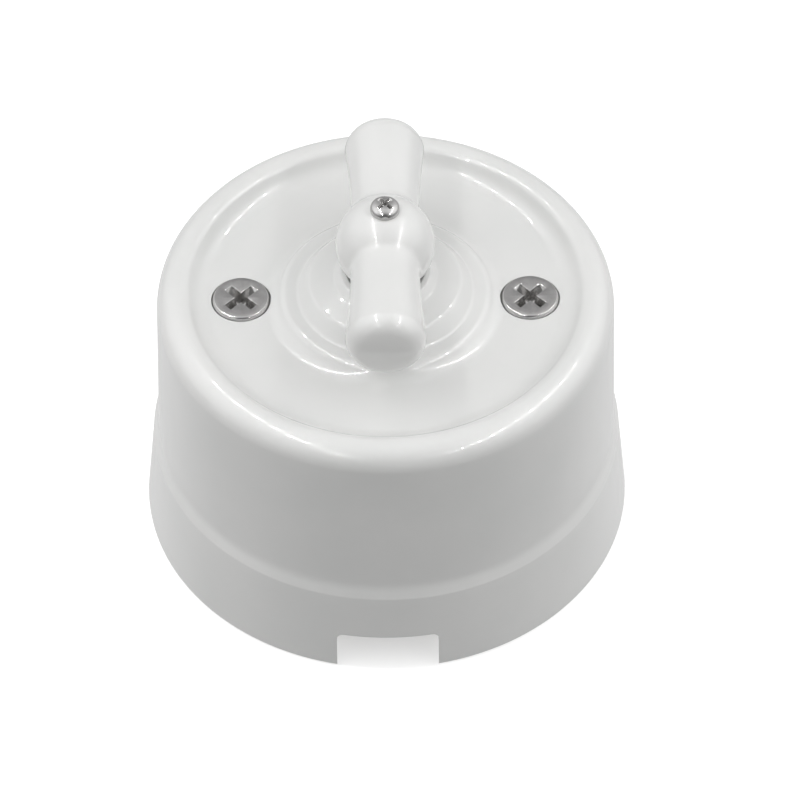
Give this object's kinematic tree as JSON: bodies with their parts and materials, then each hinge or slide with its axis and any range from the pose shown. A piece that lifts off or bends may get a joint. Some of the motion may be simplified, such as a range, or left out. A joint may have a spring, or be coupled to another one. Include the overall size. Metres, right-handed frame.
{
  "type": "rotary wall switch",
  "caption": "Surface-mounted round porcelain switch with a raised rim, a stepped boss and a bar knob that turns in quarter turns over a sealed contact mechanism.",
  "frame": {"origin": "centre of the flat wall-side face", "axes": "+Z out of the wall along the knob's axis, +X to the right with the cable notch facing -Y; the knob's bar lies along Y at rest"},
  "size_m": [0.071, 0.0704, 0.0603],
  "materials": {
    "glazed_porcelain": "clear gloss glaze over white porcelain",
    "base_porcelain": "unglazed white porcelain",
    "nickel_plate": "bright nickel plate",
    "zinc_steel": "zinc-plated steel",
    "spring_steel": "blued spring steel",
    "brass": "turned brass",
    "spring_bronze": "phosphor bronze strip",
    "silver": "silver contact tip",
    "phenolic": "moulded dark brown phenolic",
    "fibre": "vulcanised fibre"
  },
  "bodies": {
    "root": {"porcelain_cover": "glazed_porcelain", "base_disc": "base_porcelain", "threaded_posts": "brass", "post_screws": "zinc_steel", "mechanism_case": "phenolic", "mechanism_lid": "phenolic", "lid_screws": "zinc_steel", "case_screws": "zinc_steel", "spindle_bush": "brass", "thrust_washer": "fibre", "terminal_line": "brass", "terminal_one": "brass", "terminal_two": "brass", "terminal_screws": "zinc_steel", "contact_line": "spring_bronze", "contact_one": "spring_bronze", "contact_two": "spring_bronze", "fixed_tips": "silver", "index_springs": "spring_steel", "cover_screw_left": "nickel_plate", "cover_screw_right": "nickel_plate"},
    "rotor": {"knob": "glazed_porcelain", "knob_screw": "nickel_plate", "spindle": "zinc_steel", "spindle_clip": "spring_steel", "rotor_disc": "phenolic", "moving_contact": "brass", "rotor_spacer": "phenolic", "index_cam": "zinc_steel"}
  },
  "joints": [
    {"name": "knob_turn", "type": "hinge", "parent": "root", "child": "rotor", "pos_m": [0, 0, 0.052], "axis": [0, 0, 1], "continuous": true, "deforming": ["index_springs"]}
  ]
}
